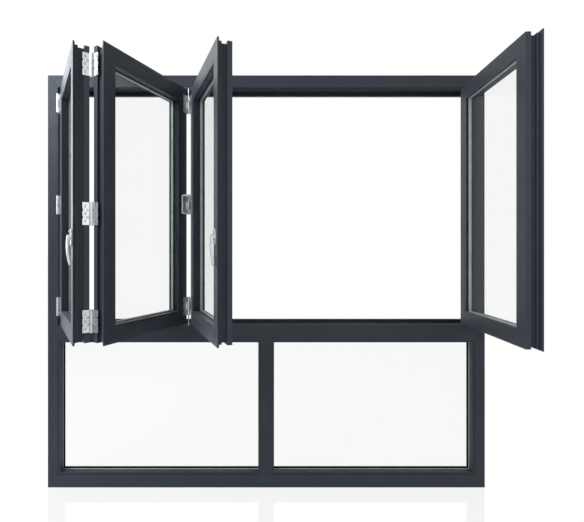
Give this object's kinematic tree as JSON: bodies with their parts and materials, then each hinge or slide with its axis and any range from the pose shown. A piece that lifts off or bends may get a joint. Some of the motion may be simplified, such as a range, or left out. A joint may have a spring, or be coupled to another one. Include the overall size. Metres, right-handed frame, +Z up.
{
  "type": "folding window",
  "caption": "Graphite framed folding window with hinged glazed sashes above a transom and fixed lights below.",
  "frame": {"origin": "middle of the underside of the sill, at half the depth of the outer frame", "axes": "+X to the right as seen from the room, +Y outward from the room, +Z up"},
  "size_m": [2.2, 0.6061, 2.075],
  "materials": {
    "graphite_aluminium": "satin powder coat",
    "clear_glass": "clear sealed unit",
    "black_seal": "matt",
    "silver_hardware": "satin",
    "dark_track": "satin dark"
  },
  "bodies": {
    "root": {"left_jamb": "graphite_aluminium", "right_jamb": "graphite_aluminium", "head": "graphite_aluminium", "sill": "graphite_aluminium", "transom": "graphite_aluminium", "mullion": "graphite_aluminium", "fixed_glass": "clear_glass", "fixed_glazing_beads": "graphite_aluminium", "fixed_glazing_gaskets": "black_seal", "sash_1_hinge_stile": "graphite_aluminium", "sash_1_free_stile": "graphite_aluminium", "sash_1_top_rail": "graphite_aluminium", "sash_1_bottom_rail": "graphite_aluminium", "sash_1_glass": "clear_glass", "sash_1_glazing_bead": "graphite_aluminium", "sash_2_hinge_stile": "graphite_aluminium", "sash_2_free_stile": "graphite_aluminium", "sash_2_top_rail": "graphite_aluminium", "sash_2_bottom_rail": "graphite_aluminium", "sash_2_glass": "clear_glass", "sash_2_glazing_bead": "graphite_aluminium", "sash_3_hinge_stile": "graphite_aluminium", "sash_3_free_stile": "graphite_aluminium", "sash_3_top_rail": "graphite_aluminium", "sash_3_bottom_rail": "graphite_aluminium", "sash_3_glass": "clear_glass", "sash_3_glazing_bead": "graphite_aluminium", "sash_4_hinge_stile": "graphite_aluminium", "sash_4_free_stile": "graphite_aluminium", "sash_4_top_rail": "graphite_aluminium", "sash_4_bottom_rail": "graphite_aluminium", "sash_4_glass": "clear_glass", "sash_4_glazing_bead": "graphite_aluminium", "sash_glazing_gaskets": "black_seal", "left_jamb_hinges": "silver_hardware", "fold_hinges": "silver_hardware", "track_hinges": "silver_hardware", "right_jamb_hinges": "silver_hardware", "hinge_pins": "silver_hardware", "pull_grip": "silver_hardware", "handle_plates": "silver_hardware", "handle_levers": "silver_hardware", "track_rails": "dark_track", "track_carriers": "silver_hardware", "stop_seals": "black_seal"}
  },
  "joints": []
}
